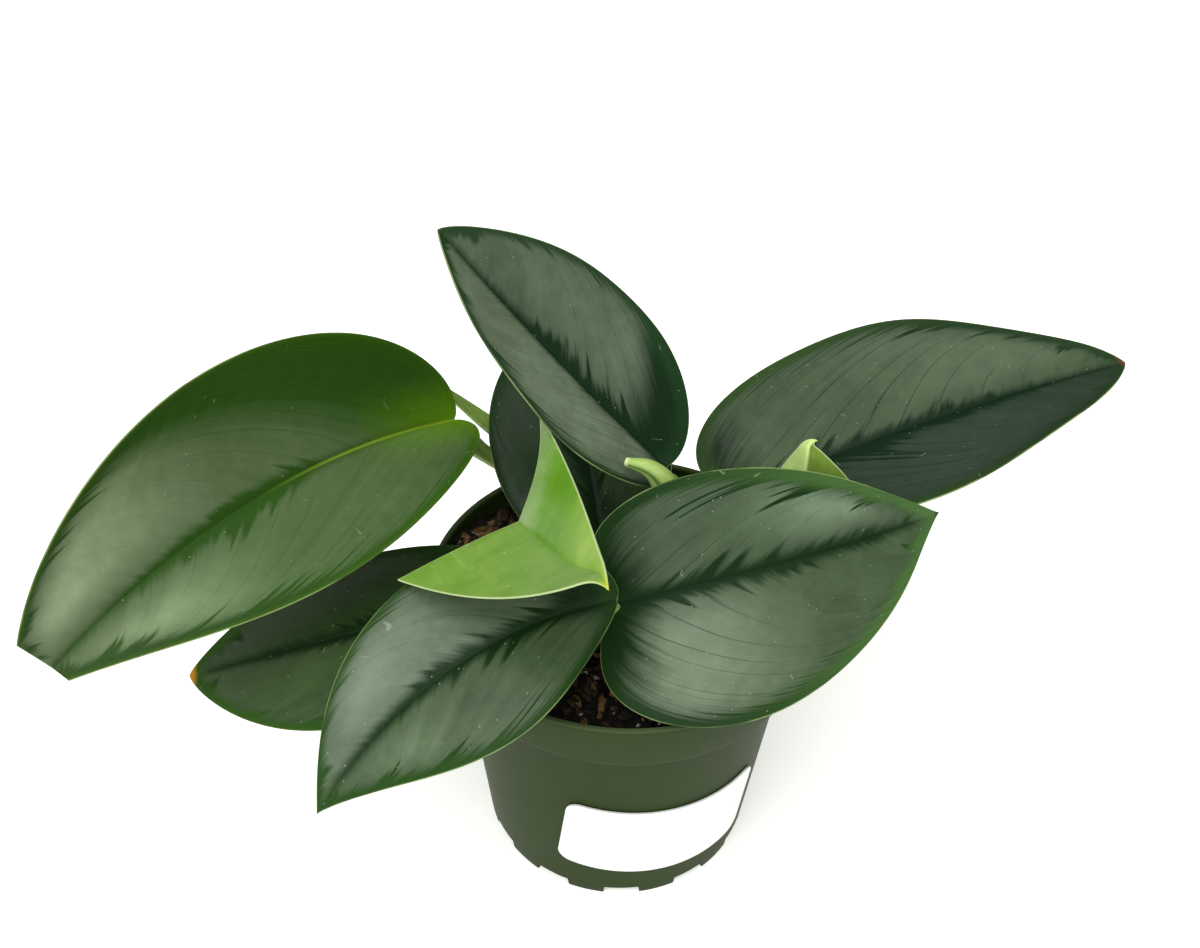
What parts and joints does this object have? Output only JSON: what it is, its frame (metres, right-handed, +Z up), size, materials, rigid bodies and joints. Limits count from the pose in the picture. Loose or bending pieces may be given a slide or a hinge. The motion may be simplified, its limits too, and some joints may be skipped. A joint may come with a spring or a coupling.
{
  "type": "potted moonlight scindapsus",
  "caption": "House plant with broad silvery, dark-bordered leaves, bright young leaves and stout stalks, in a soil-filled round plastic nursery pot with a plain blank label.",
  "frame": {"origin": "middle of the pot's underside, on the surface the pot stands on", "axes": "+Z up; -Y towards the front of the pot, where the label is; +X to the right as seen from the front"},
  "size_m": [0.268, 0.1727, 0.1745],
  "materials": {
    "pot": "dark olive green moulded plastic, matt to satin",
    "label": "plain white label film, blank",
    "soil": "damp dark potting mix with bark chips and white grains",
    "stem": "smooth olive to yellow-green plant skin",
    "grown_leaf": "thick leathery leaf, silver grey-green with a dark border and midrib, semi-gloss",
    "young_leaf": "soft bright green young leaf with pale margins, semi-gloss"
  },
  "bodies": {
    "root": {"pot": "pot", "label": "label", "soil": "soil", "shoot_left": "stem", "shoot_middle": "stem", "shoot_right": "stem", "shoot_front": "stem", "shoot_low_left": "stem", "leaf_left": "grown_leaf", "leaf_top": "grown_leaf", "leaf_right": "grown_leaf", "leaf_front_right": "grown_leaf", "leaf_front_left": "grown_leaf", "leaf_low_left": "grown_leaf", "leaf_back": "grown_leaf", "young_leaf_open": "young_leaf", "young_leaf_hooked": "young_leaf", "young_leaf_rolled": "young_leaf"}
  },
  "joints": []
}
